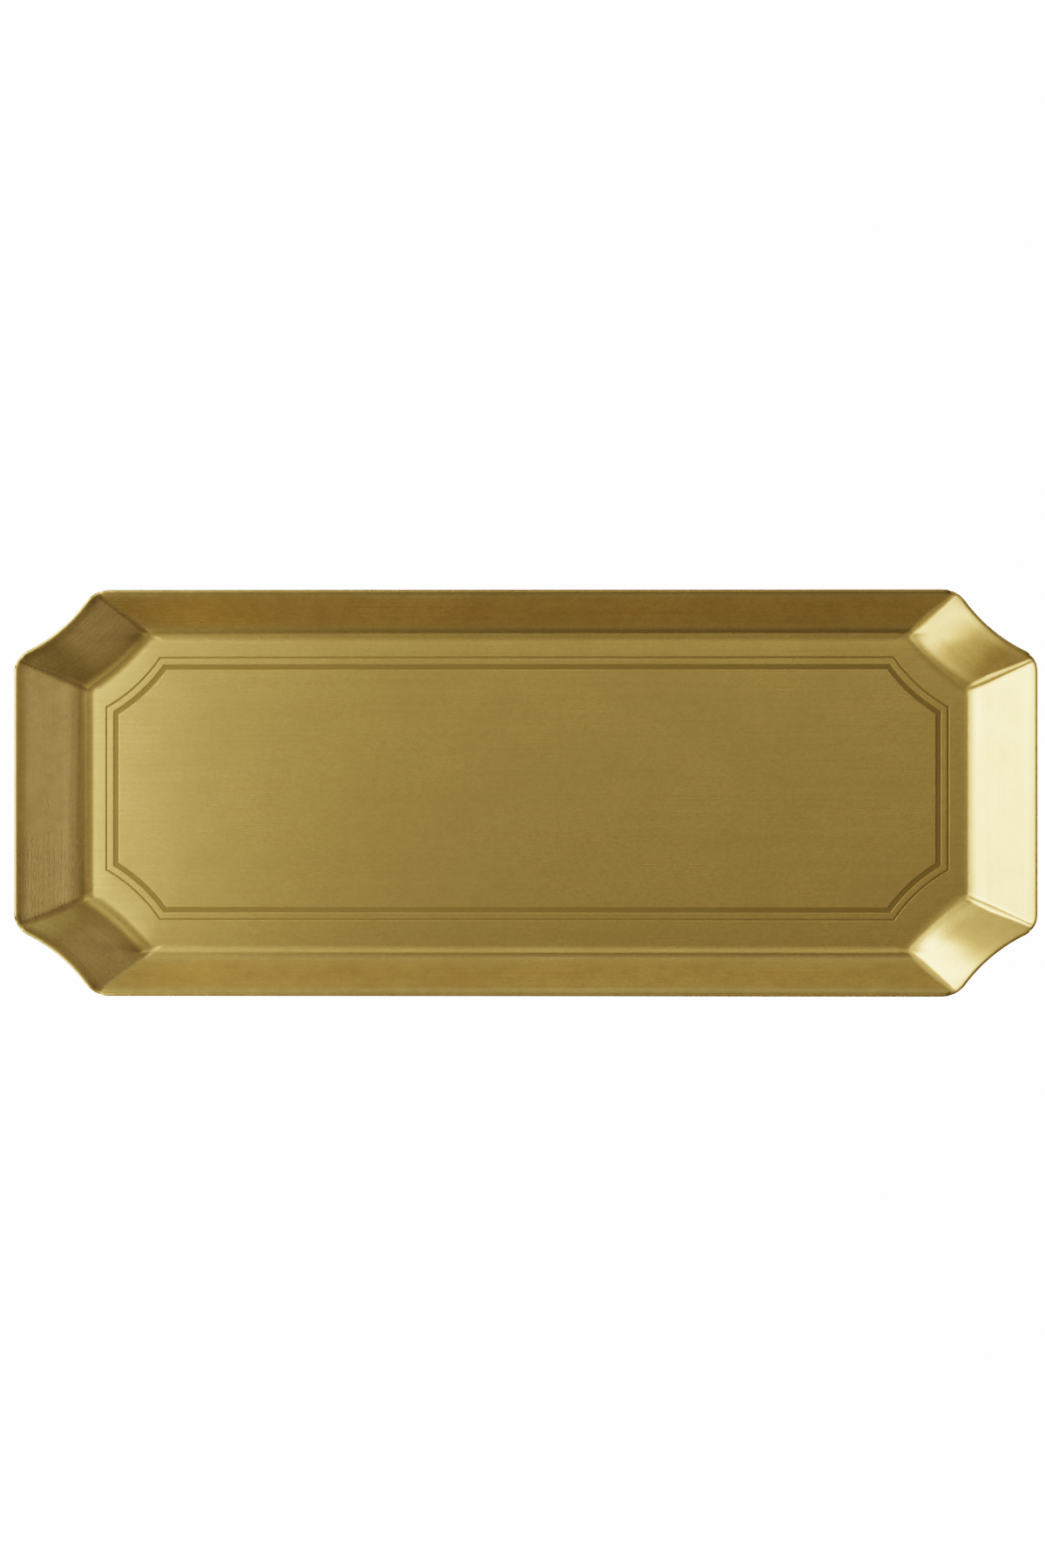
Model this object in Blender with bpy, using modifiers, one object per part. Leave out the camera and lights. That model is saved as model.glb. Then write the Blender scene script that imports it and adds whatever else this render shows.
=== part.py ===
"""A long rectangular tray pressed from one sheet of brass, on four felt pads.

Metres, +Z up. The origin is under the middle of the tray, on the surface that the pads stand on.
+X runs along the long side. Every plan size is that of the sheet's upper face, and the sheet's
thickness lies below and outside it.
"""

import math

import bmesh
import bpy
import numpy as np

MM = 0.001

# The sheet and the heights of its upper face
SHEET = 1.0 * MM
PAD_THICKNESS = 1.2 * MM
GLUE_GAP = 0.3 * MM
RIM_Z = 14.15 * MM
FLOOR_Z = PAD_THICKNESS + GLUE_GAP + SHEET

# Fold between floor and wall: an octagon with slightly hollow corners
FOLD = {
    "half_length": 142.9 * MM,
    "half_width": 51.4 * MM,
    "side_end": 31.4 * MM,
    "corner_angle": math.radians(42.0),
    "hollow_turn": math.radians(17.0),
    "radius_long": 4.0 * MM,
    "radius_short": 4.0 * MM,
}

# Rim: the same octagon opened out, its corners hollowed more, like a ticket's
RIM = {
    "half_length": 164.8 * MM,
    "half_width": 65.15 * MM,
    "side_end": 39.4 * MM,
    "corner_angle": math.radians(40.0),
    "hollow_turn": math.radians(26.0),
    "radius_long": 8.0 * MM,
    "radius_short": 5.4 * MM,
}

# Wall, as shares of the way from fold to rim
FOLD_SOFTNESS = 0.17
LIP_SHARE = 0.16
LIP_EASE = 0.40
EDGE_ROUND = 0.45 * MM

# Double line etched into the floor: a fine line with a broad one inside it. It sits a little
# behind the floor's middle, and its corners are hollowed by circles.
BORDER_HALF_LENGTH = 135.8 * MM
BORDER_HALF_WIDTH = 42.2 * MM
BORDER_BACK = 1.4 * MM
CORNER_CIRCLE_AT = (161.4 * MM, 71.5 * MM)
CORNER_CIRCLE_RADIUS = 52.1 * MM
FINE_LINE_WIDTH = 0.55 * MM
BROAD_LINE_WIDTH = 1.7 * MM
LINE_SPACING = 3.05 * MM
ETCH_DEPTH = 0.1 * MM

# Pads
PAD_RADIUS = 7.0 * MM
PAD_AT = (112.0 * MM, 35.0 * MM)
PAD_EDGE = 0.3 * MM

# Steps along each stretch of a quarter outline, and up the wall
LONG_STEPS = 2
ARC_STEPS = 6
HOLLOW_STEPS = 9
END_STEPS = 2
FOLD_STEPS = 6
LIP_STEPS = 3


def clear_scene():
    for old in list(bpy.data.objects):
        bpy.data.objects.remove(old, do_unlink=True)


def new_collection(name):
    made = bpy.data.collections.new(name)
    bpy.context.scene.collection.children.link(made)
    return made


def plain_material(name, colour, roughness, metallic):
    """A Principled material in one colour."""
    made = bpy.data.materials.new(name)
    made.use_nodes = True
    shader = made.node_tree.nodes["Principled BSDF"]
    shader.inputs["Base Color"].default_value = (*colour, 1.0)
    shader.inputs["Roughness"].default_value = roughness
    shader.inputs["Metallic"].default_value = metallic
    return made


def between(low, high, share):
    """The outline that lies at that share of the way from one outline to another."""
    return {key: low[key] + share * (high[key] - low[key]) for key in low}


def steps(count):
    """Shares of a stretch, up to its end and without its start."""
    return np.linspace(0.0, 1.0, count + 1)[1:]


def quarter_outline(shape):
    """Points of an outline in the quarter x > 0, y > 0, from the long side's middle to the end's.

    The long side runs along +X. An arc turns it down to the corner's stretch, which bends back by
    the hollow's turn, and a second arc turns that into the end, which runs down to y = 0.
    """
    first_turn = shape["corner_angle"] + shape["hollow_turn"] / 2
    last_turn = shape["corner_angle"] - shape["hollow_turn"] / 2
    long_arc, short_arc = shape["radius_long"], shape["radius_short"]

    drop = shape["half_width"] - shape["side_end"]
    drop -= long_arc * (1 - math.cos(first_turn)) + short_arc * math.cos(last_turn)
    chord = drop / math.sin(shape["corner_angle"])
    hollow_length = chord / np.sinc(shape["hollow_turn"] / 2 / math.pi)
    corner_reach = long_arc * math.sin(first_turn) + short_arc * (1 - math.sin(last_turn))
    corner_reach += chord * math.cos(shape["corner_angle"])
    straight = shape["half_length"] - corner_reach

    middle = np.array([[0.0, shape["half_width"]]])
    along = steps(LONG_STEPS)
    long_side = np.column_stack([along * straight, np.full(LONG_STEPS, shape["half_width"])])

    turn = steps(ARC_STEPS) * first_turn
    first_bend = long_side[-1] + long_arc * np.column_stack([np.sin(turn), np.cos(turn) - 1.0])

    half_turn = steps(HOLLOW_STEPS) * shape["hollow_turn"] / 2
    reach = steps(HOLLOW_STEPS) * hollow_length * np.sinc(half_turn / math.pi)
    heading = first_turn - half_turn
    hollow = first_bend[-1] + np.column_stack([reach * np.cos(heading), -reach * np.sin(heading)])

    turn = last_turn + steps(ARC_STEPS) * (math.pi / 2 - last_turn)
    bend = np.column_stack([np.sin(turn) - math.sin(last_turn), np.cos(turn) - math.cos(last_turn)])
    last_bend = hollow[-1] + short_arc * bend

    down = (1.0 - steps(END_STEPS)) * shape["side_end"]
    end_side = np.column_stack([np.full(END_STEPS, shape["half_length"]), down])
    return np.vstack([middle, long_side, first_bend, hollow, last_bend, end_side])


def border_outline(depth):
    """The border's outline drawn in by a depth all round: a rectangle whose corners are cut away by
    circles. Drawn in, the sides come closer and the circles grow from the same centres."""
    half_length = BORDER_HALF_LENGTH - depth
    half_width = BORDER_HALF_WIDTH - depth
    radius = CORNER_CIRCLE_RADIUS + depth
    at_long_side = math.pi + math.asin((CORNER_CIRCLE_AT[1] - half_width) / radius)
    at_short_side = math.pi + math.acos((CORNER_CIRCLE_AT[0] - half_length) / radius)
    turn = np.linspace(at_long_side, at_short_side, HOLLOW_STEPS + 1)
    corner = CORNER_CIRCLE_AT + radius * np.column_stack([np.cos(turn), np.sin(turn)])
    back = corner[::-1]
    return np.vstack([corner, back * (1, -1), corner * (-1, -1), back * (-1, 1)])


def wall_profile():
    """(share of the way from fold to rim, height over the floor) of each ring, from floor to edge.

    The fold is a parabola that meets floor and wall without a kink, and the lip eases the wall
    outwards, so that its last stretch leans further than the rest.
    """
    rise = RIM_Z - FLOOR_Z
    slope = rise / (1.0 - LIP_EASE * LIP_SHARE / 2)
    fold = np.linspace(-FOLD_SOFTNESS, FOLD_SOFTNESS, FOLD_STEPS + 1)
    rings = [(share, slope * (share + FOLD_SOFTNESS) ** 2 / (4 * FOLD_SOFTNESS)) for share in fold]
    for share in np.linspace(1.0 - LIP_SHARE, 1.0, LIP_STEPS + 1):
        eased = LIP_EASE * (share - 1.0 + LIP_SHARE) ** 2 / (2 * LIP_SHARE)
        rings.append((share, slope * (share - eased)))
    return rings


def quarter_sheet():
    """The sheet's upper face in one quarter: a floor polygon, and a loft from ring to ring."""
    shell = bmesh.new()
    rings = []
    for share, height in wall_profile():
        outline = quarter_outline(between(FOLD, RIM, share))
        rings.append([shell.verts.new((x, y, FLOOR_Z + height)) for x, y in outline])
    middle = shell.verts.new((0.0, 0.0, FLOOR_Z))
    shell.faces.new([middle, *reversed(rings[0])])
    for lower, upper in zip(rings, rings[1:]):
        for i in range(len(lower) - 1):
            shell.faces.new([lower[i], lower[i + 1], upper[i + 1], upper[i]])
    bmesh.ops.recalc_face_normals(shell, faces=shell.faces)
    shell.faces.ensure_lookup_table()
    if shell.faces[0].normal.z < 0:
        bmesh.ops.reverse_faces(shell, faces=shell.faces)
    mesh = bpy.data.meshes.new("tray_quarter")
    shell.to_mesh(mesh)
    shell.free()
    return mesh


def etched_line_cutter(name, middle_depth, width, collection):
    """A closed strip of one width, as deep as the etching, that stands in the floor's face."""
    curve = bpy.data.curves.new(name, "CURVE")
    curve.dimensions = "2D"
    curve.fill_mode = "BOTH"
    curve.extrude = ETCH_DEPTH
    for side in (-0.5, 0.5):
        outline = border_outline(middle_depth + side * width)
        spline = curve.splines.new("POLY")
        spline.points.add(len(outline) - 1)
        spline.use_cyclic_u = True
        for point, (x, y) in zip(spline.points, outline):
            point.co = (x, y + BORDER_BACK, 0.0, 1.0)
    drawn = bpy.data.objects.new(name + "_outline", curve)
    drawn.location.z = FLOOR_Z
    collection.objects.link(drawn)
    bpy.context.view_layer.update()

    graph = bpy.context.evaluated_depsgraph_get()
    mesh = bpy.data.meshes.new_from_object(drawn.evaluated_get(graph))
    strip = bmesh.new()
    strip.from_mesh(mesh)
    bmesh.ops.remove_doubles(strip, verts=strip.verts, dist=0.001 * MM)
    bmesh.ops.recalc_face_normals(strip, faces=strip.faces)
    strip.to_mesh(mesh)
    strip.free()
    cutter = bpy.data.objects.new(name, mesh)
    cutter.matrix_world = drawn.matrix_world.copy()
    bpy.data.objects.remove(drawn)
    collection.objects.link(cutter)
    cutter.hide_render = True
    cutter.display_type = "WIRE"
    return cutter


def pressed_tray(brass, collection, cutters):
    """The one-piece sheet: mirrored quarters, given thickness, a round edge and the etched lines."""
    tray = bpy.data.objects.new("tray_body", quarter_sheet())
    collection.objects.link(tray)
    tray.data.materials.append(brass)

    mirror = tray.modifiers.new("four quarters", "MIRROR")
    mirror.use_axis = (True, True, False)
    mirror.merge_threshold = 0.01 * MM

    thickness = tray.modifiers.new("sheet", "SOLIDIFY")
    thickness.thickness = SHEET
    thickness.offset = -1.0
    thickness.use_even_offset = True

    edge = tray.modifiers.new("round edge", "BEVEL")
    edge.width = EDGE_ROUND
    edge.segments = 3
    edge.limit_method = "ANGLE"
    edge.angle_limit = math.radians(60.0)

    for cutter in cutters:
        cut = tray.modifiers.new(cutter.name, "BOOLEAN")
        cut.operation = "DIFFERENCE"
        cut.solver = "EXACT"
        cut.object = cutter

    tray.data.shade_smooth()
    tray.data.set_sharp_from_angle(angle=math.radians(35.0))
    return tray


def felt_pads(felt, collection):
    """Four round pads stuck under the floor, near its corners."""
    bpy.ops.mesh.primitive_cylinder_add(vertices=40, radius=PAD_RADIUS, depth=PAD_THICKNESS)
    first = bpy.context.object
    mesh = first.data
    mesh.name = "felt_pad"
    mesh.materials.append(felt)
    bpy.data.objects.remove(first)
    places = {
        "felt_pad_front_left": (-1, -1),
        "felt_pad_front_right": (1, -1),
        "felt_pad_back_left": (-1, 1),
        "felt_pad_back_right": (1, 1),
    }
    for name, (side_x, side_y) in places.items():
        pad = bpy.data.objects.new(name, mesh)
        pad.location = (side_x * PAD_AT[0], side_y * PAD_AT[1], PAD_THICKNESS / 2)
        collection.objects.link(pad)
        edge = pad.modifiers.new("pressed edge", "BEVEL")
        edge.width = PAD_EDGE
        edge.segments = 2
        edge.limit_method = "ANGLE"
        edge.angle_limit = math.radians(60.0)
    mesh.shade_smooth()
    mesh.set_sharp_from_angle(angle=math.radians(35.0))


def main():
    clear_scene()
    parts = new_collection("brass_tray")
    helpers = new_collection("cutters")
    brass = plain_material("brushed brass", (0.62, 0.47, 0.18), 0.32, 1.0)
    felt = plain_material("dark green felt", (0.035, 0.055, 0.040), 0.95, 0.0)
    cutters = [
        etched_line_cutter("fine_line", 0.0, FINE_LINE_WIDTH, helpers),
        etched_line_cutter("broad_line", LINE_SPACING, BROAD_LINE_WIDTH, helpers),
    ]
    pressed_tray(brass, parts, cutters)
    felt_pads(felt, parts)


main()
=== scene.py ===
"""The looks of a long brass tray on felt pads, seen from above on a white table.

Metres, +Z up, +X along the tray's long side. The sheet is one closed surface, worked out ring by
ring from the middle of its floor, over the etched lines, up the wall, round the edge and back under.
"""

import math

import bpy
import numpy as np
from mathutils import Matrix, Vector


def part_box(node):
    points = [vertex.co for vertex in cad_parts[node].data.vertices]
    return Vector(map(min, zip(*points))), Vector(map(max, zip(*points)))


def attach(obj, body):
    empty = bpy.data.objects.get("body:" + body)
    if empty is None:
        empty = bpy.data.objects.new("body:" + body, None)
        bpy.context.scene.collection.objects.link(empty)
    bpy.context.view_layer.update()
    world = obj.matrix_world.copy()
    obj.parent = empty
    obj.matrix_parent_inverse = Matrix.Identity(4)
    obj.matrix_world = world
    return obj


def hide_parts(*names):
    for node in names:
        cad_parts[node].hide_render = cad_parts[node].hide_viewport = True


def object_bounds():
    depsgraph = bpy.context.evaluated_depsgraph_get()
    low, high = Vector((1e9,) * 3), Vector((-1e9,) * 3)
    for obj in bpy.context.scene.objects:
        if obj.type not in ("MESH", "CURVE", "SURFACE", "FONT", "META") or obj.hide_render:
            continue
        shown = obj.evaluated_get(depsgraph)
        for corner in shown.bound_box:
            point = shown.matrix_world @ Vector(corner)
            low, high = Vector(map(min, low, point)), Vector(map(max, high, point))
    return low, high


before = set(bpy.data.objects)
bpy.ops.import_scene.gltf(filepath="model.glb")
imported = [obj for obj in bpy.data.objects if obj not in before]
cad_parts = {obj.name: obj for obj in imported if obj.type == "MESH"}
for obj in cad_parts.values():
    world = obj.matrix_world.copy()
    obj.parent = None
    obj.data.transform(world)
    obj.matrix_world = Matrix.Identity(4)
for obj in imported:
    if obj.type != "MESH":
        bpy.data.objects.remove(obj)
cad_low, cad_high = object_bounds()

MM = 0.001

# The photograph's size and the middle of the tray's rim in it, in its own pixels, and what a pixel
# covers at the height of the rim
PHOTO_SIZE = (1200, 1800)
TRAY_CENTRE_PIXEL = (602.4, 910.25)
PIXEL = 0.28042 * MM

# The camera's height over the rim and its place to the right of the tray, and how much longer its
# lens is than the scale gives, which fits the tray to its photographed outline
CAMERA_DISTANCE = 4.0
CAMERA_ASIDE = 0.235
LENS_FIT = 1.002
SENSOR_WIDTH = 36.0

# The table's glow as it is seen and as the brass mirrors it, how deep the mirrored one lies, and
# half of a side of both
TABLE_GLOW = 8.5
TABLE_MIRRORED_GLOW = 0.7
TABLE_MIRRORED_DEPTH = 0.5 * MM
TABLE_HALF_SIDE = 6.0

# The radius of the dome that the soft boxes hang on, the height over the table that they are aimed
# at, the ceiling's height, and the room's own light
DOME_RADIUS = 1.2
AIM_HEIGHT = 10.0 * MM
CEILING_HEIGHT = 1.1
ROOM_GLOW = 0.04

# Colours of light
WHITE = (1.0, 1.0, 1.0)
WARM = (1.0, 0.98, 0.93)
COOL = (0.95, 0.98, 1.25)
CLEAR = (0.93, 1.03, 1.2)

# Colours of the brass and of the felt
BRASS = (0.83, 0.575, 0.200)
CLOUDED_BRASS = (0.77, 0.530, 0.183)
STAINED_BRASS = (0.45, 0.30, 0.11)
STROKE_SHADE = (0.52, 0.34, 0.11)
ETCHED_BRASS = (0.50, 0.355, 0.12)
DEEP_GREEN = (0.018, 0.032, 0.022)
PALE_GREEN = (0.055, 0.085, 0.060)

# The sheet's thickness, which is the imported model's, and the rounds of its worn edge
SHEET = 1.0 * MM
UPPER_ROUND = 0.8 * MM
UNDER_ROUND = SHEET - UPPER_ROUND
# The turns at which the two rounds have a ring, in degrees from the upper face's normal
UPPER_ROUND_TURNS = (12.0, 25.0, 37.0, 48.0, 58.0, 68.0, 79.0, 90.0)
UNDER_ROUND_TURNS = (105.0, 120.0, 135.0, 150.0, 165.0)

# How far the last ring of the wall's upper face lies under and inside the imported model's box
RIM_DROP = 0.16 * MM
END_INSET = 1.07 * MM
SIDE_INSET = 1.15 * MM
TRAY_LOW, TRAY_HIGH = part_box("tray_body")
FLOOR_Z = TRAY_LOW.z + SHEET
RIM_Z = TRAY_HIGH.z - RIM_DROP

# Fold and rim, with the radii of the creases between neighbouring walls
FOLD = {
    "half_length": 142.4 * MM,
    "half_width": 51.4 * MM,
    "side_end": 31.8 * MM,
    "corner_angle": math.radians(42.0),
    "hollow_turn": math.radians(17.0),
    "radius_long": 4.0 * MM,
    "radius_short": 3.5 * MM,
}
RIM = {
    "half_length": TRAY_HIGH.x - END_INSET,
    "half_width": TRAY_HIGH.y - SIDE_INSET,
    "side_end": 41.85 * MM,
    "corner_angle": math.radians(39.8),
    "hollow_turn": math.radians(33.0),
    "radius_long": 2.6 * MM,
    "radius_short": 2.0 * MM,
}
# Radii to which the rim's corners are trimmed, and the power that keeps the trimming near the rim
TRIM_LONG = 7.4 * MM
TRIM_SHORT = 5.8 * MM
TRIM_POWER = 6

# The wall's section: a bend of this reach either side of the fold, a slow bow above it that takes up
# a share of the slope, and a lip that covers a share of the wall and eases a share of the slope
FOLD_REACH = 2.6 * MM
BOW_REACH = 6.5 * MM
BOW_SHARE = 0.3
LIP_SHARE = 0.16
LIP_EASE = 0.40

# How far the floor rolls down next to its fold, at a long side, a corner and an end, the distance
# over which it does, and the power that makes the deepest of the three count
SIDE_ROLL = 0.45 * MM
CORNER_ROLL = 0.24 * MM
END_ROLL = 0.20 * MM
ROLL_REACH = 4.5 * MM
ROLL_POWER = 6

# The etched double line: its outline's half sizes and its place towards the back, the circles that
# hollow its corners, and the section of its two lines
BORDER_HALF_LENGTH = 135.8 * MM
BORDER_HALF_WIDTH = 42.2 * MM
BORDER_BACK = 1.4 * MM
CORNER_CIRCLE_AT = (161.4 * MM, 71.5 * MM)
CORNER_CIRCLE_RADIUS = 52.1 * MM
VERTEX_ROUND = 0.15 * MM
FINE_LINE_WIDTH = 0.55 * MM
BROAD_LINE_WIDTH = 1.7 * MM
LINE_SPACING = 3.05 * MM
ETCH_DEPTH = 0.06 * MM
ETCH_SLOPE = 0.18 * MM
ETCH_MARGIN = 0.06 * MM
# Where an etched slope has bent enough to run straight, and what it has sunk by there, as shares
ETCH_BEND = 0.4
ETCH_BENT_SUNK = 0.15

# The thin darker line under the worn edge, as a share of the etching's darkening and of the wall's width
RIM_LINE_DARKNESS = 0.6
RIM_LINE_SHARE = 0.012

# Steps along each stretch of a quarter outline, and how strongly they crowd where it bends
LONG_STEPS = 20
ARC_STEPS = 10
HOLLOW_STEPS = 32
END_STEPS = 14
LONG_CROWDING = 2
HOLLOW_CROWDING = 0.12
END_CROWDING = 1.6

# Steps up the wall, over its fold, bow, slope and lip. The fold's reach as far as its share either
# side of it, and the bow's end at the share of its top, both of the way from fold to rim
FOLD_STEPS = 20
BOW_STEPS = 8
SLOPE_STEPS = 3
LIP_STEPS = 8
FOLD_SHARE = 0.20
BOW_TOP_SHARE = 0.48

# Steps from the border to the middle of the floor and from the fold to the middle of the underside,
# and the rings between the border and the fold, as shares of the way
FLOOR_STEPS = 16
UNDER_STEPS = 12
MARGIN_SHARES = (0.02, 0.2, 0.4, 0.6, 0.8)

# A felt pad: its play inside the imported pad, its soft edge, how far that edge wanders and the power
# that leaves the rest of the disc in place, its points round, its rings on a flat face and on half of
# the edge, and the shares of the flat face between which the first lie
PAD_PLAY = 0.12 * MM
PAD_EDGE = 0.35 * MM
PAD_WANDER = 0.05 * MM
PAD_EDGE_POWER = 8
PAD_AROUND = 96
PAD_FACE_RINGS = 8
PAD_EDGE_RINGS = 6
PAD_FACE_SHARES = (0.15, 0.97)


def steps(count, start=0.0, end=1.0):
    """Even steps from a start up to an end, without the start itself."""
    return np.linspace(start, end, count + 1)[1:]


def unit(vectors):
    """Vectors brought to length one."""
    return vectors / np.linalg.norm(vectors, axis=-1, keepdims=True)


def between(low, high, share):
    """The outline that lies at that share of the way from one outline to another."""
    return {key: low[key] + share * (high[key] - low[key]) for key in low}


def outline(shape):
    """A closed outline, as an array of (x, y), clockwise from the middle of the back long side.

    A quarter is a straight long side, an arc that turns it down to the corner, a hollow stretch that
    bends back while its heading falls evenly from the first turn to the last, a second arc, and the
    straight end. The other quarters are its reflections.
    """
    first_turn = shape["corner_angle"] + shape["hollow_turn"] / 2
    last_turn = shape["corner_angle"] - shape["hollow_turn"] / 2
    long_arc, short_arc = shape["radius_long"], shape["radius_short"]

    drop = shape["half_width"] - shape["side_end"]
    drop -= long_arc * (1 - math.cos(first_turn)) + short_arc * math.cos(last_turn)
    chord = drop / math.sin(shape["corner_angle"])
    hollow_length = chord / np.sinc(shape["hollow_turn"] / 2 / math.pi)
    corner_reach = long_arc * math.sin(first_turn) + short_arc * (1 - math.sin(last_turn))
    corner_reach += chord * math.cos(shape["corner_angle"])
    straight = shape["half_length"] - corner_reach

    middle = np.array([[0.0, shape["half_width"]]])
    along = straight * (1 - (1 - steps(LONG_STEPS)) ** LONG_CROWDING)
    long_side = np.column_stack([along, np.full(LONG_STEPS, shape["half_width"])])

    turn = steps(ARC_STEPS) * first_turn
    first_bend = long_side[-1] + long_arc * np.column_stack([np.sin(turn), np.cos(turn) - 1.0])

    share = steps(HOLLOW_STEPS) - HOLLOW_CROWDING * np.sin(2 * math.pi * steps(HOLLOW_STEPS))
    half_turn = share * shape["hollow_turn"] / 2
    reach = share * hollow_length * np.sinc(half_turn / math.pi)
    heading = first_turn - half_turn
    hollow = first_bend[-1] + np.column_stack([reach * np.cos(heading), -reach * np.sin(heading)])

    turn = last_turn + steps(ARC_STEPS) * (math.pi / 2 - last_turn)
    bend = np.column_stack([np.sin(turn) - math.sin(last_turn), np.cos(turn) - math.cos(last_turn)])
    last_bend = hollow[-1] + short_arc * bend

    down = (1.0 - steps(END_STEPS) ** END_CROWDING) * shape["side_end"]
    end_side = np.column_stack([np.full(END_STEPS, shape["half_length"]), down])

    quarter = np.vstack([middle, long_side, first_bend, hollow, last_bend, end_side])
    back = quarter[::-1]
    return np.vstack([quarter[:-1], back[:-1] * (1, -1), quarter[:-1] * (-1, -1), back[:-1] * (-1, 1)])


def border_outline(depth):
    """The etched border's outline drawn in by a depth: its sides come closer, and the circles that
    hollow its corners grow from the same centres. Vertices are where circles and sides meet."""
    half_length = BORDER_HALF_LENGTH - depth
    half_width = BORDER_HALF_WIDTH - depth
    radius = CORNER_CIRCLE_RADIUS + depth
    on_long_side = CORNER_CIRCLE_AT[0] - math.sqrt(radius**2 - (CORNER_CIRCLE_AT[1] - half_width) ** 2)
    on_end = CORNER_CIRCLE_AT[1] - math.sqrt(radius**2 - (CORNER_CIRCLE_AT[0] - half_length) ** 2)
    cut = (half_length - on_long_side, half_width - on_end)
    shape = {
        "half_length": half_length,
        "half_width": half_width,
        "side_end": on_end,
        "corner_angle": math.atan2(cut[1], cut[0]),
        "hollow_turn": 2 * math.asin(math.hypot(*cut) / 2 / radius),
        "radius_long": VERTEX_ROUND,
        "radius_short": VERTEX_ROUND,
    }
    return outline(shape) + (0.0, BORDER_BACK)


def ring(points, height):
    """An outline as (x, y, z), all of it at one height."""
    return np.column_stack([points, np.full(len(points), height)])


def inwards(outer, count):
    """Rings between the middle of the floor and an outer ring, which is shrunk evenly."""
    return [outer * (share, share, 1.0) for share in steps(count)[:-1]]


def etched_rings(middle_depth, width):
    """Rings across one etched line, from its inner edge to its outer one, with how far each is sunk.

    The section is a flat bottom between two short slopes that start and end softly."""
    slope_sunk = [0.0, 0.0, ETCH_BENT_SUNK, 1.0 - ETCH_BENT_SUNK, 1.0, 1.0]
    from_slope = np.array([
        ETCH_SLOPE + ETCH_MARGIN,
        ETCH_SLOPE,
        ETCH_BEND * ETCH_SLOPE,
        -ETCH_BEND * ETCH_SLOPE,
        -ETCH_SLOPE,
        -ETCH_SLOPE - ETCH_MARGIN / 2,
    ])
    from_middle = width / 2 + from_slope
    sunk = slope_sunk + slope_sunk[::-1]
    depths = middle_depth + np.concatenate([from_middle, -from_middle[::-1]])
    rings = [ring(border_outline(depth), FLOOR_Z - ETCH_DEPTH * share) for depth, share in zip(depths, sunk)]
    return rings, sunk


def rolled(points, wall_share):
    """The sheet with its floor rolled down a little next to the fold, as pressing leaves it.

    Next to a long side, a corner or an end it sinks by that one's roll, falling off exponentially with
    the distance inwards from the fold. The deepest of the three counts, with a soft change between
    them. Up the wall it falls off evenly to nothing at the rim."""
    across = np.abs(points[..., 0]), np.abs(points[..., 1])
    corner_x = FOLD["half_length"] - (FOLD["half_width"] - FOLD["side_end"]) / math.tan(FOLD["corner_angle"])
    to_corner = (corner_x - across[0]) * math.sin(FOLD["corner_angle"])
    to_corner += (FOLD["half_width"] - across[1]) * math.cos(FOLD["corner_angle"])
    inside = np.array([FOLD["half_width"] - across[1], to_corner, FOLD["half_length"] - across[0]])
    rolls = np.array([SIDE_ROLL, CORNER_ROLL, END_ROLL]).reshape(3, 1, 1)
    sunk = rolls * np.exp(-np.clip(inside, 0.0, None) / ROLL_REACH)
    deepest = (sunk**ROLL_POWER).sum(axis=0) ** (1 / ROLL_POWER)
    deepest = deepest * (1.0 - np.clip(wall_share, 0.0, 1.0))[:, None]
    return points - deepest[..., None] * (0.0, 0.0, 1.0)


def risen(share, start, end):
    """What is climbed when a slope grows evenly from nothing at the start to one at the end."""
    inside = np.clip(share, start, end) - start
    return inside**2 / (2 * (end - start)) + np.clip(share - end, 0.0, None)


def climbed(share, width):
    """Climb up the wall's section, to no scale, at a share of the way from fold to rim.

    Three pieces of slope are added: one that grows across the fold, a smaller one that grows slowly
    above it, and one taken off again at the lip."""
    height = (1.0 - BOW_SHARE) * risen(share, -FOLD_REACH / width, FOLD_REACH / width)
    height = height + BOW_SHARE * risen(share, 0.0, BOW_REACH / width)
    return height - LIP_EASE * risen(share, 1.0 - LIP_SHARE, 1.0)


def wall_height(share, width):
    """Height over the floor at a share of the way from fold to rim, on a wall of that width: the climb
    to there, scaled so that the whole of it reaches the rim."""
    return (RIM_Z - FLOOR_Z) * climbed(share, width) / climbed(1.0, width)


def corner_gap(distance, turn, radius):
    """How far a rounded corner lies inside its side's line, at a distance along the line from the
    corner's point: nothing up to the arc's start, and then the arc's own sag."""
    into_arc = np.clip(radius * math.tan(turn / 2) - distance, 0.0, None)
    return radius - np.sqrt(radius**2 - into_arc**2)


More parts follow.
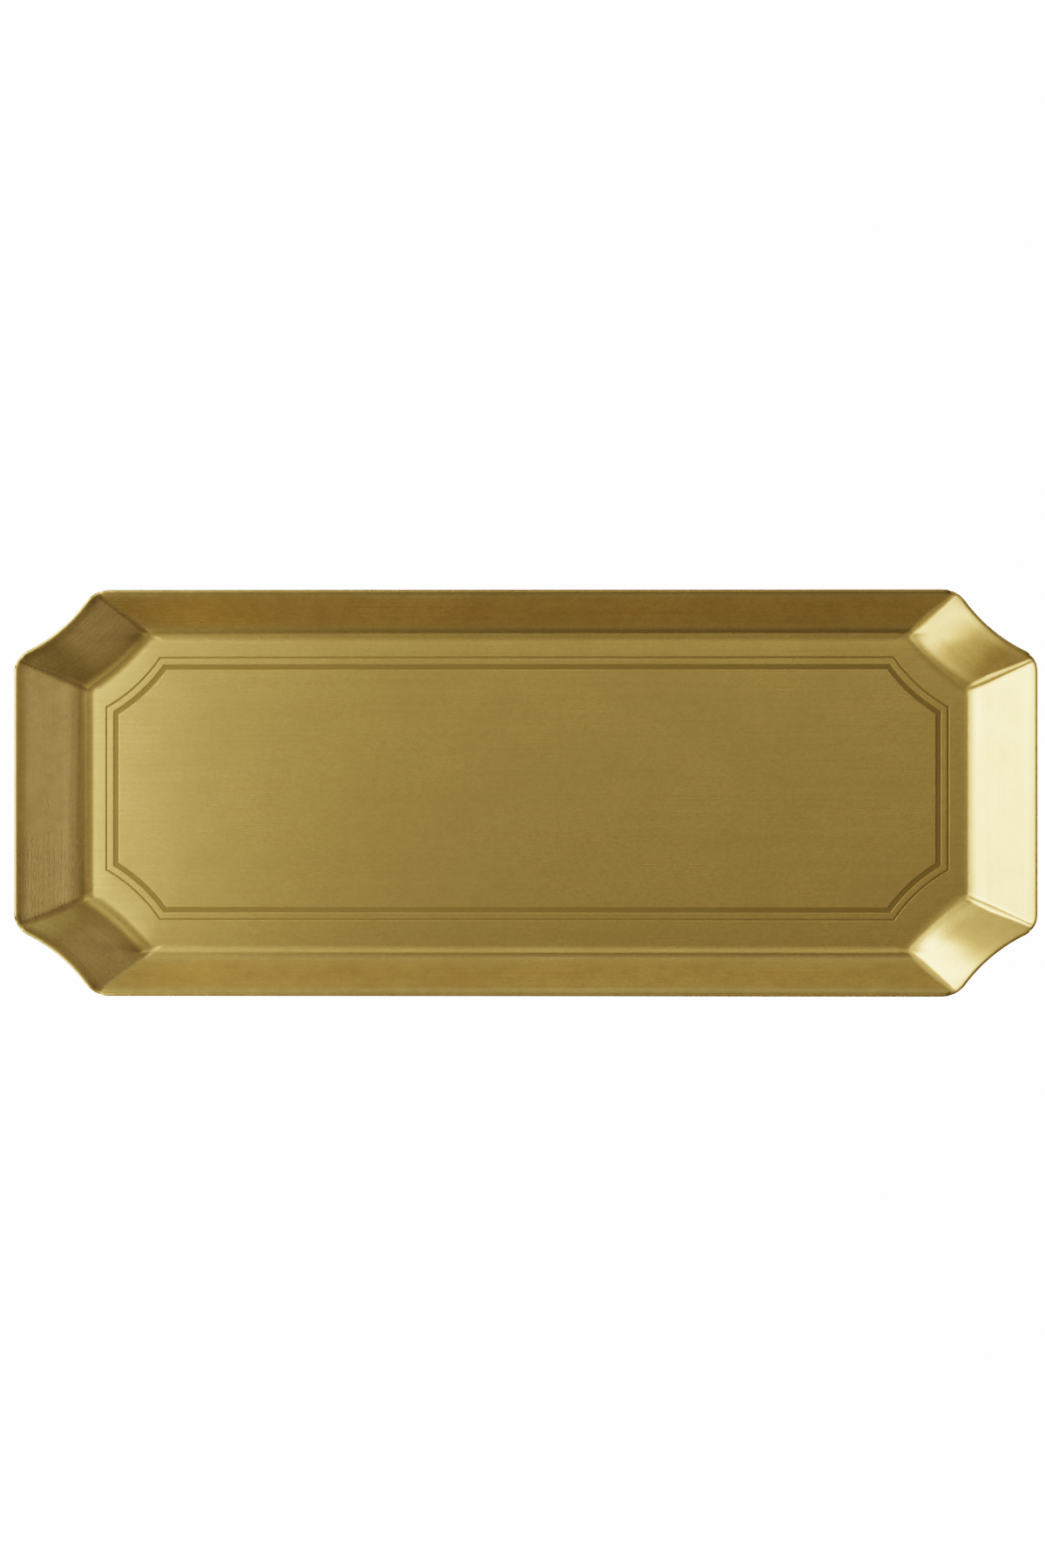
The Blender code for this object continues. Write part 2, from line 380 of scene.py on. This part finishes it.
def trimmed(wall, shares, width):
    """The wall with its rim's corners trimmed rounder than its creases.

    Each column of the wall is shortened by the gap between the rounder and the tighter corner, over
    the wall's width there, and its points slide down along it, most of all those near the rim."""
    rim = wall[-1]
    around = len(rim)
    length = np.linalg.norm(np.roll(rim, -1, axis=0) - rim, axis=1)
    place = np.concatenate([[0.0], length.cumsum()[:-1]])

    first_turn = RIM["corner_angle"] + RIM["hollow_turn"] / 2
    last_turn = math.pi / 2 - RIM["corner_angle"] + RIM["hollow_turn"] / 2
    long_corner = LONG_STEPS + ARC_STEPS // 2
    short_corner = long_corner + ARC_STEPS + HOLLOW_STEPS
    gap = np.zeros(around)
    for column, turn, radius, crease in (
        (long_corner, first_turn, TRIM_LONG, RIM["radius_long"]),
        (short_corner, last_turn, TRIM_SHORT, RIM["radius_short"]),
    ):
        for corner in (column, around // 2 - column, around // 2 + column, around - column):
            away = np.abs((place - place[corner] + length.sum() / 2) % length.sum() - length.sum() / 2)
            gap += corner_gap(away, turn, radius) - corner_gap(away, turn, crease)

    cut = gap / width
    wanted = shares[:, None] * (1.0 - cut * np.clip(shares, 0.0, 1.0)[:, None] ** TRIM_POWER)
    above = np.clip(np.searchsorted(shares, wanted), 1, len(shares) - 1)
    weight = (wanted - shares[above - 1]) / (shares[above] - shares[above - 1])
    column = np.arange(around)
    lower, upper = wall[above - 1, column], wall[above, column]
    return lower + weight[..., None] * (upper - lower)


def wall_rings():
    """Rings of the upper face from the fold's start to the rim, each between fold and rim in plan and
    at its height on the section, and their shares of the way from fold to rim."""
    shares = np.concatenate([
        [-FOLD_SHARE],
        steps(FOLD_STEPS, -FOLD_SHARE, FOLD_SHARE),
        steps(BOW_STEPS, FOLD_SHARE, BOW_TOP_SHARE),
        steps(SLOPE_STEPS, BOW_TOP_SHARE, 1.0 - LIP_SHARE),
        steps(LIP_STEPS, 1.0 - LIP_SHARE, 1.0)[:-1],
        [1.0 - RIM_LINE_SHARE, 1.0],
    ])
    fold, rim = outline(FOLD), outline(RIM)
    tangent = unit(np.roll(rim, -1, axis=0) - np.roll(rim, 1, axis=0))
    width = np.abs(np.cross(tangent, rim - fold))
    heights = FLOOR_Z + wall_height(shares[:, None], width)
    rings = [np.column_stack([outline(between(FOLD, RIM, share)), z]) for share, z in zip(shares, heights)]
    return trimmed(np.array(rings), shares, width), shares


def floor_rings(fold_start):
    """Rings of the floor from its middle, over the etched lines and on to the fold's start, and how far
    each is etched."""
    broad, broad_sunk = etched_rings(LINE_SPACING, BROAD_LINE_WIDTH)
    fine, fine_sunk = etched_rings(0.0, FINE_LINE_WIDTH)
    middle = inwards(broad[0], FLOOR_STEPS)
    flat = ring(fold_start[:, :2], FLOOR_Z)
    margin = [fine[-1] + share * (flat - fine[-1]) for share in MARGIN_SHARES]
    rings = np.array([*middle, *broad, *fine, *margin])
    sunk = [0.0] * len(middle) + broad_sunk + fine_sunk + [0.0] * len(margin)
    return rolled(rings, np.zeros(len(rings))), sunk


def edge_rings(rim, normal, outwards):
    """Rings round the worn edge: a wide quarter circle that turns from the upper face outwards, and a
    small one that goes on to the underside."""
    wide_centre = rim - UPPER_ROUND * normal
    small_centre = wide_centre + (UPPER_ROUND - UNDER_ROUND) * outwards
    rings = []
    for centre, radius, turns in (
        (wide_centre, UPPER_ROUND, UPPER_ROUND_TURNS),
        (small_centre, UNDER_ROUND, UNDER_ROUND_TURNS),
    ):
        for turn in np.radians(turns):
            rings.append(centre + radius * (math.cos(turn) * normal + math.sin(turn) * outwards))
    return rings


def sheet_surface():
    """The whole sheet as rings, with how far each is etched or darkened, and the two on the fold.

    The underside is the upper face moved back along its normal by the sheet's thickness, the normal
    being the cross product of the directions along and across the rings. The edge is worn round, and
    a thin line where the wear begins is darkened like the etching."""
    wall, shares = wall_rings()
    wall = rolled(wall, shares)
    along = unit(np.roll(wall, -1, axis=1) - np.roll(wall, 1, axis=1))
    normal = unit(np.cross(along, np.gradient(wall, axis=0)))
    outwards = np.cross(normal[-1], along[-1])
    under = wall - SHEET * normal
    under[-1] += (UPPER_ROUND - UNDER_ROUND) * outwards

    floor, floor_sunk = floor_rings(wall[0])
    edge = edge_rings(wall[-1], normal[-1], outwards)
    below = np.array(inwards(ring(under[0, :, :2], FLOOR_Z - SHEET), UNDER_STEPS))
    below = rolled(below, np.zeros(len(below)))[::-1]
    rings = np.array([*floor, *wall, *edge, *under[::-1], *below])

    sunk = np.zeros(len(rings))
    sunk[:len(floor)] = floor_sunk
    brink = len(floor) + len(wall) - 1
    # The two rings where the worn edge begins are darkened, as the etched lines are
    sunk[brink:brink + 2] = RIM_LINE_DARKNESS
    to_fold = int(np.argmin(np.abs(shares)))
    return rings, sunk, len(floor) + to_fold, len(rings) - len(below) - 1 - to_fold


def closed_faces(count, around):
    """Faces over so many rings of so many points, which two poles close, listed after all the rings.

    Quads lie between neighbouring rings. A fan of triangles joins the first ring to the first pole,
    and another joins the last ring to the second pole."""
    i, j = np.meshgrid(np.arange(count - 1), np.arange(around), indexing="ij")
    here = i * around + j
    beside = i * around + (j + 1) % around
    quads = np.stack([here, beside, beside + around, here + around], -1).reshape(-1, 4)
    column = np.arange(around)
    following = (column + 1) % around
    pole = count * around
    last = pole - around
    first_fan = np.column_stack([np.full(around, pole), following, column])
    last_fan = np.column_stack([np.full(around, pole + 1), last + column, last + following])
    return quads, np.vstack([first_fan, last_fan])


def smooth_piece(name, points, quads, fans, material):
    """An object at the origin, made of those points and faces, shaded smooth."""
    mesh = bpy.data.meshes.new(name)
    mesh.from_pydata(points.tolist(), [], quads.tolist() + fans.tolist())
    mesh.shade_smooth()
    mesh.materials.append(material)
    piece = bpy.data.objects.new(name, mesh)
    bpy.context.scene.collection.objects.link(piece)
    return piece


def way_along(points):
    """The way gone at each of a row of points, from nothing at the first one."""
    return np.concatenate([[0.0], np.linalg.norm(np.diff(points, axis=0), axis=1)]).cumsum()


def stroke_map(rings, points, quads, fold, last_fold):
    """Where each quad's corners lie on the map of brush strokes, whose U runs along the strokes.

    Between the two folds U is the way round the tray, along the ring at the top of the bow, and V is
    the mean way up the section. On both faces of the floor they are x and y."""
    bow_top = rings[fold + FOLD_STEPS // 2 + BOW_STEPS]
    way_round = way_along(np.vstack([bow_top, bow_top[:1]]))
    climbs = np.linalg.norm(np.diff(rings, axis=0), axis=2).mean(axis=1)
    way_up = np.concatenate([[0.0], climbs]).cumsum()
    laid_out = np.stack(np.meshgrid(way_round, way_up), -1)
    on_wall = np.stack([laid_out[:-1, :-1], laid_out[:-1, 1:], laid_out[1:, 1:], laid_out[1:, :-1]], axis=2)
    on_floor = points[quads][:, :, :2].reshape(on_wall.shape)
    row = np.arange(len(rings) - 1).reshape(-1, 1, 1, 1)
    return np.where((row >= fold) & (row < last_fold), on_wall, on_floor)


def tray_sheet(material):
    """The closed sheet, with its map of brush strokes and how far each point is etched or darkened."""
    rings, sunk, fold, last_fold = sheet_surface()
    count, around = rings.shape[:2]
    poles = [[0.0, 0.0, FLOOR_Z], [0.0, 0.0, FLOOR_Z - SHEET]]
    points = np.vstack([rings.reshape(-1, 3), poles])
    quads, fans = closed_faces(count, around)
    piece = smooth_piece("tray_sheet", points, quads, fans, material)

    quad_map = stroke_map(rings, points, quads, fold, last_fold)
    fan_map = points[fans][:, :, :2]
    strokes = piece.data.uv_layers.new(name="strokes")
    flat = np.concatenate([quad_map.ravel(), fan_map.ravel()])
    strokes.uv.foreach_set("vector", flat.astype(np.float32))

    etched = piece.data.attributes.new("etched", "FLOAT", "POINT")
    values = np.concatenate([np.repeat(sunk, around), np.zeros(len(poles))])
    etched.data.foreach_set("value", values.astype(np.float32))

    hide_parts("tray_body")
    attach(piece, "root")


def felt_pad(name, node, material):
    """A pressed felt disc: a section carried round an axis. The section runs from the middle of the
    underside out to a soft edge and back over the top, and the edge wanders by two small waves, of 7
    and of 17 to the round, which start elsewhere on each pad."""
    low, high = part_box(node)
    centre = (low + high) / 2
    radius = (high.x - low.x) / 2 - PAD_PLAY
    flat_radius = radius - PAD_EDGE
    turn = np.linspace(0.0, math.pi / 2, PAD_EDGE_RINGS)
    face_reach = np.linspace(*PAD_FACE_SHARES, PAD_FACE_RINGS) * flat_radius
    reach = np.concatenate([face_reach, flat_radius + PAD_EDGE * np.sin(turn)])
    height = np.concatenate([np.full(PAD_FACE_RINGS, low.z), low.z + PAD_EDGE * (1 - np.cos(turn))])
    reach = np.concatenate([reach, reach[::-1]])
    height = np.concatenate([height, high.z - (height[::-1] - low.z)])

    angle = np.linspace(0.0, 2 * math.pi, PAD_AROUND, endpoint=False)
    wander = PAD_WANDER * (np.sin(7 * angle + 40 * centre.x) + np.sin(17 * angle + 90 * centre.y))
    at_edge = (reach / radius)[:, None] ** PAD_EDGE_POWER
    spread = reach[:, None] + at_edge * wander[None, :]
    surface = np.stack([
        centre.x + spread * np.cos(angle),
        centre.y + spread * np.sin(angle),
        np.broadcast_to(height[:, None], spread.shape),
    ], -1)
    poles = [[centre.x, centre.y, low.z], [centre.x, centre.y, high.z]]
    points = np.vstack([surface.reshape(-1, 3), poles])
    quads, fans = closed_faces(len(reach), PAD_AROUND)
    piece = smooth_piece(name, points, quads, fans, material)
    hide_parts(node)
    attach(piece, "root")


class Nodes:
    """A short way to write a material's node tree."""

    def __init__(self, tree):
        self.tree = tree

    def add(self, kind, values=None, **settings):
        """A node with its settings, and with its input sockets set or linked."""
        node = self.tree.nodes.new(kind)
        for key, value in settings.items():
            setattr(node, key, value)
        for key, value in (values or {}).items():
            if isinstance(value, bpy.types.NodeSocket):
                self.tree.links.new(value, node.inputs[key])
            else:
                node.inputs[key].default_value = value
        return node

    def noise(self, vector, waves, detail, roughness=0.5):
        """Smooth noise from 0 to 1, with so many waves a metre along each axis."""
        scaled = self.add("ShaderNodeVectorMath", {0: vector, 1: waves}, operation="MULTIPLY")
        made = self.add(
            "ShaderNodeTexNoise",
            {"Vector": scaled.outputs[0], "Scale": 1.0, "Detail": detail, "Roughness": roughness},
        )
        return made.outputs["Fac"]

    def math(self, operation, first, second=0.0, third=0.0):
        """One step of arithmetic on numbers or sockets."""
        return self.add("ShaderNodeMath", {0: first, 1: second, 2: third}, operation=operation).outputs[0]

    def spread(self, value, low, high, to_low=0.0, to_high=1.0):
        """A value moved from one range to another, softly at both ends, and held there."""
        values = {"Value": value, "From Min": low, "From Max": high, "To Min": to_low, "To Max": to_high}
        return self.add("ShaderNodeMapRange", values, interpolation_type="SMOOTHSTEP").outputs[0]

    def mix(self, share, first, second):
        """A blend of two colours."""
        node = self.add("ShaderNodeMix", {"Factor": share}, data_type="RGBA")
        for socket, value in ((node.inputs[6], first), (node.inputs[7], second)):
            if isinstance(value, bpy.types.NodeSocket):
                self.tree.links.new(value, socket)
            else:
                socket.default_value = (*value, 1.0)
        return node.outputs[2]


def new_material(name):
    """An empty material with its Principled shader."""
    made = bpy.data.materials.new(name)
    made.use_nodes = True
    return made, Nodes(made.node_tree), made.node_tree.nodes["Principled BSDF"]


def brushed_brass():
    """Satin brass: hair-fine strokes along U, wider bands of them, specks, a cloudy tarnish, stains that
    show more on the wall, and etched lines that are dull and dark. The wall also waves a little."""
    material, nodes, shader = new_material("brushed_brass")
    strokes = nodes.add("ShaderNodeUVMap", uv_map="strokes").outputs[0]
    place = nodes.add("ShaderNodeTexCoord").outputs["Object"]
    etched = nodes.add("ShaderNodeAttribute", attribute_name="etched").outputs["Fac"]

    hair = nodes.noise(strokes, (40.0, 3000.0, 1.0), 0.0)
    stroke = nodes.noise(strokes, (14.0, 1100.0, 1.0), 1.0)
    band = nodes.noise(strokes, (7.0, 260.0, 1.0), 2.0)
    speck = nodes.noise(place, (1000.0, 1000.0, 1000.0), 1.0)
    cloud = nodes.noise(place, (28.0, 40.0, 40.0), 3.0, 0.55)

    height_here = nodes.add("ShaderNodeSeparateXYZ", {"Vector": place}).outputs["Z"]
    on_wall = nodes.spread(height_here, FLOOR_Z + 0.5 * MM, FLOOR_Z + 4.0 * MM)
    stain = nodes.spread(nodes.noise(place, (220.0, 220.0, 220.0), 1.0), 0.35, 0.75)
    stain = nodes.math("MULTIPLY", stain, nodes.math("MULTIPLY_ADD", on_wall, 0.12, 0.05))

    tone = nodes.mix(nodes.spread(cloud, 0.3, 0.7), CLOUDED_BRASS, BRASS)
    tone = nodes.mix(stain, tone, STAINED_BRASS)
    grain = nodes.math("ADD", nodes.math("MULTIPLY", stroke, 0.35), nodes.math("MULTIPLY", band, 0.2))
    grain = nodes.math("ADD", grain, nodes.math("MULTIPLY", speck, 0.45))
    brushed = nodes.mix(nodes.spread(grain, 0.35, 0.65, 0.0, 0.22), tone, STROKE_SHADE)
    # The etched lines and the thin line under the worn edge both take the darker, etched colour
    colour = nodes.mix(etched, brushed, ETCHED_BRASS)
    nodes.tree.links.new(colour, shader.inputs["Base Color"])

    rough = nodes.spread(stroke, 0.3, 0.7, 0.265, 0.285)
    rough = nodes.math("ADD", rough, nodes.spread(cloud, 0.3, 0.7, 0.02, 0.0))
    rough = nodes.math("ADD", rough, nodes.math("MULTIPLY", etched, 0.22))
    nodes.tree.links.new(rough, shader.inputs["Roughness"])

    waves = nodes.noise(place, (42.0, 42.0, 42.0), 1.0)
    waves = nodes.math("MULTIPLY", waves, nodes.math("MULTIPLY_ADD", on_wall, 0.8, 0.2))
    waved = nodes.add("ShaderNodeBump", {"Strength": 1.0, "Distance": 0.25 * MM, "Height": waves})
    height = nodes.math("ADD", nodes.math("MULTIPLY", hair, 0.6), stroke)
    bump = nodes.add(
        "ShaderNodeBump",
        {"Strength": 0.02, "Distance": 0.02 * MM, "Height": height, "Normal": waved.outputs[0]},
    )
    nodes.tree.links.new(bump.outputs[0], shader.inputs["Normal"])

    tangent = nodes.add("ShaderNodeTangent", direction_type="UV_MAP", uv_map="strokes")
    nodes.tree.links.new(tangent.outputs[0], shader.inputs["Tangent"])
    shader.inputs["Metallic"].default_value = 1.0
    shader.inputs["Anisotropic"].default_value = 0.80
    shader.inputs["Anisotropic Rotation"].default_value = 0.25
    return material


def wool_felt():
    """Pressed wool felt: matted fibres in two greens, rough and a little furry at its edge."""
    material, nodes, shader = new_material("wool_felt")
    place = nodes.add("ShaderNodeTexCoord").outputs["Object"]
    fibre = nodes.noise(place, (2600.0, 900.0, 1700.0), 4.0, 0.65)
    crossing = nodes.noise(place, (800.0, 2400.0, 1900.0), 4.0, 0.65)
    matted = nodes.math("MULTIPLY", fibre, crossing)
    colour = nodes.mix(nodes.spread(matted, 0.12, 0.42), DEEP_GREEN, PALE_GREEN)
    nodes.tree.links.new(colour, shader.inputs["Base Color"])
    bump = nodes.add("ShaderNodeBump", {"Strength": 0.8, "Distance": 0.15 * MM, "Height": matted})
    nodes.tree.links.new(bump.outputs[0], shader.inputs["Normal"])
    shader.inputs["Roughness"].default_value = 0.95
    shader.inputs["Sheen Weight"].default_value = 0.35
    shader.inputs["Sheen Roughness"].default_value = 0.5
    return material


def level_plane(name, height, glow):
    """A white, glowing square that lies level under the tray, far wider than the view."""
    material, _, shader = new_material(name)
    shader.inputs["Base Color"].default_value = (0.9, 0.9, 0.9, 1.0)
    shader.inputs["Roughness"].default_value = 0.8
    shader.inputs["Emission Color"].default_value = (*WHITE, 1.0)
    shader.inputs["Emission Strength"].default_value = glow
    material.cycles.emission_sampling = "NONE"
    mesh = bpy.data.meshes.new(name)
    half = TABLE_HALF_SIDE
    corners = [(-half, -half, height), (half, -half, height), (half, half, height), (-half, half, height)]
    mesh.from_pydata(corners, [], [(0, 1, 2, 3)])
    mesh.materials.append(material)
    plane = bpy.data.objects.new(name, mesh)
    bpy.context.scene.collection.objects.link(plane)
    return plane


def table_top():
    """The plain white table. It is seen as clean white, but what the brass mirrors of it is a second,
    dimmer square just beneath, as a table that is lit by the same lamps would give."""
    seen = level_plane("table_top", 0.0, TABLE_GLOW)
    seen.visible_glossy = False
    seen.visible_diffuse = False
    mirrored = level_plane("table_mirrored", -TABLE_MIRRORED_DEPTH, TABLE_MIRRORED_GLOW)
    mirrored.visible_camera = False


def camera():
    """A long lens above, looking down, with the photograph's right as +X and its top as +Y.

    It stands a little to the right and is turned back to the tray, because the floor, which lies lower
    than the rim, shows 2.4 pixels to the right of the rim's middle."""
    data = bpy.data.cameras.new("camera")
    data.sensor_width = SENSOR_WIDTH
    frame_height = PHOTO_SIZE[1] * PIXEL
    data.lens = data.sensor_width * LENS_FIT * math.hypot(CAMERA_DISTANCE, CAMERA_ASIDE) / frame_height
    data.clip_end = 5 * CAMERA_DISTANCE
    made = bpy.data.objects.new("camera", data)
    right = (PHOTO_SIZE[0] / 2 - TRAY_CENTRE_PIXEL[0]) * PIXEL
    up = (TRAY_CENTRE_PIXEL[1] - PHOTO_SIZE[1] / 2) * PIXEL
    made.location = (right + CAMERA_ASIDE, up, cad_high.z + CAMERA_DISTANCE)
    made.rotation_euler = (0.0, math.atan2(CAMERA_ASIDE, CAMERA_DISTANCE), 0.0)
    bpy.context.scene.collection.objects.link(made)
    bpy.context.scene.camera = made


def panel(name, place, size, aim, strength, colour):
    """A rectangular lamp at a place, turned towards the point that it is aimed at. Its strength is the
    brightness of its face, so that it doesn't change with size."""
    lamp = bpy.data.lights.new(name, "AREA")
    lamp.shape = "RECTANGLE"
    lamp.size, lamp.size_y = size
    lamp.energy = strength * math.pi * size[0] * size[1]
    lamp.color = colour
    made = bpy.data.objects.new(name, lamp)
    made.location = place
    direction = Vector(np.subtract(aim, place))
    made.rotation_euler = direction.to_track_quat("-Z", "Y").to_euler()
    made.visible_camera = False
    bpy.context.scene.collection.objects.link(made)


def soft_box(name, azimuth, elevation, size, strength, colour=WHITE):
    """A panel on a dome over the tray. The azimuth is the direction that it lies in, turning from +X
    towards +Y, and the elevation is its height over the table, both in degrees."""
    turn, rise = math.radians(azimuth), math.radians(elevation)
    flat = DOME_RADIUS * math.cos(rise)
    place = (flat * math.cos(turn), flat * math.sin(turn), DOME_RADIUS * math.sin(rise))
    panel(name, place, size, (0.0, 0.0, AIM_HEIGHT), strength, colour)


def ceiling_panel(name, x, y, size, strength):
    """A panel under the ceiling that shines straight down."""
    panel(name, (x, y, CEILING_HEIGHT), size, (x, y, 0.0), strength, WHITE)


def studio():
    """A bright window on the left with strips and dimmer wings beside it, pale walls low round the other
    sides, and a soft ceiling in four pieces. No camera sees a lamp, so only tray and table show."""
    world = bpy.data.worlds.new("studio")
    bpy.context.scene.world = world
    world.use_nodes = True
    background = world.node_tree.nodes["Background"]
    background.inputs["Color"].default_value = (*WHITE, 1.0)
    background.inputs["Strength"].default_value = ROOM_GLOW

    soft_box("window_left", 172.0, 36.0, (0.19, 0.50), 12.0, WARM)
    soft_box("window_left_front", 184.0, 36.0, (0.19, 0.50), 6.2, WARM)
    soft_box("window_left_top", 178.0, 58.0, (0.40, 0.30), 1.6, WARM)
    soft_box("strip_back_left", 139.0, 36.0, (0.19, 0.50), 8.0, WARM)
    soft_box("strip_back_low", 147.0, 20.0, (0.30, 0.30), 10.0, WARM)
    soft_box("strip_front_left", 221.0, 36.0, (0.19, 0.50), 3.8, WARM)
    soft_box("strip_front_low", 213.0, 20.0, (0.30, 0.30), 4.4, WARM)
    soft_box("wing_back_left", 125.0, 36.0, (0.22, 0.50), 1.05)
    soft_box("wing_back", 111.0, 36.0, (0.26, 0.50), 0.70)
    soft_box("wing_front_left", 234.0, 36.0, (0.22, 0.50), 0.95)
    soft_box("wing_front", 250.0, 36.0, (0.26, 0.50), 0.38)
    soft_box("wall_right", 0.0, 8.0, (1.0, 0.30), 5.9, COOL)
    soft_box("wall_right_back", 45.0, 24.0, (0.70, 0.50), 0.39, COOL)
    soft_box("wall_right_front", 315.0, 24.0, (0.70, 0.50), 0.36, COOL)
    soft_box("wall_back", 93.0, 8.0, (1.40, 0.34), 0.46, CLEAR)
    soft_box("wall_back_high", 93.0, 24.0, (1.20, 0.30), 0.44, CLEAR)
    soft_box("wall_front", 270.0, 8.0, (1.10, 0.34), 0.26, CLEAR)
    soft_box("wall_front_high", 270.0, 24.0, (1.10, 0.30), 0.17, CLEAR)
    ceiling_panel("ceiling_back", 0.045, 0.45, (0.60, 0.30), 0.80)
    ceiling_panel("ceiling", 0.045, 0.15, (0.60, 0.30), 0.34)
    ceiling_panel("ceiling_front", 0.045, -0.45, (0.60, 0.30), 0.48)
    ceiling_panel("ceiling_left", -0.33, 0.14, (0.15, 0.80), 1.9)


def main():
    """The tray on its four pads, the table, the studio's light, the camera and how it shows tones."""
    brass = brushed_brass()
    felt = wool_felt()
    tray_sheet(brass)
    for side in ("front_left", "front_right", "back_left", "back_right"):
        felt_pad("pad_" + side, "felt_pad_" + side, felt)
    table_top()
    studio()
    camera()
    bpy.context.scene.view_settings.view_transform = "Filmic"
    bpy.context.scene.view_settings.look = "High Contrast"


main()
